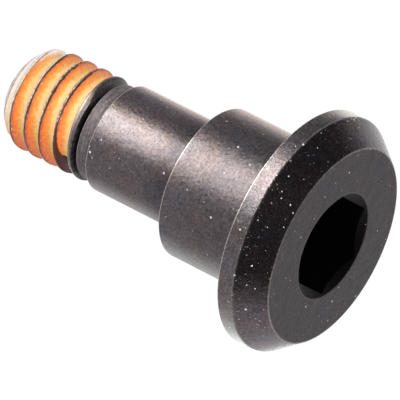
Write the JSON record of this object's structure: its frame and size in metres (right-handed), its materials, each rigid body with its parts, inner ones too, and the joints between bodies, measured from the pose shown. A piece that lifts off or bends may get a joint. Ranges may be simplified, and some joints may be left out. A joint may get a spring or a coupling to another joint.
{
  "type": "shoulder bolt",
  "caption": "Blackened steel bolt: bevelled round head with a hexagon socket, stepped plain shoulders, a neck and a metric thread with an orange locking coat.",
  "frame": {"origin": "centre of the thread's flat end, on which the bolt stands", "axes": "+Z along the bolt's axis from the thread to the head; +Y through two opposite corners of the hexagon socket"},
  "size_m": [0.0136, 0.0134, 0.0205],
  "materials": {
    "blackened_steel": "satin black oxide over fine turning marks",
    "locking_coat": "dried resin, satin, worn off at the crests"
  },
  "bodies": {
    "root": {"bolt": "blackened_steel", "thread_coat": "locking_coat"}
  },
  "joints": []
}
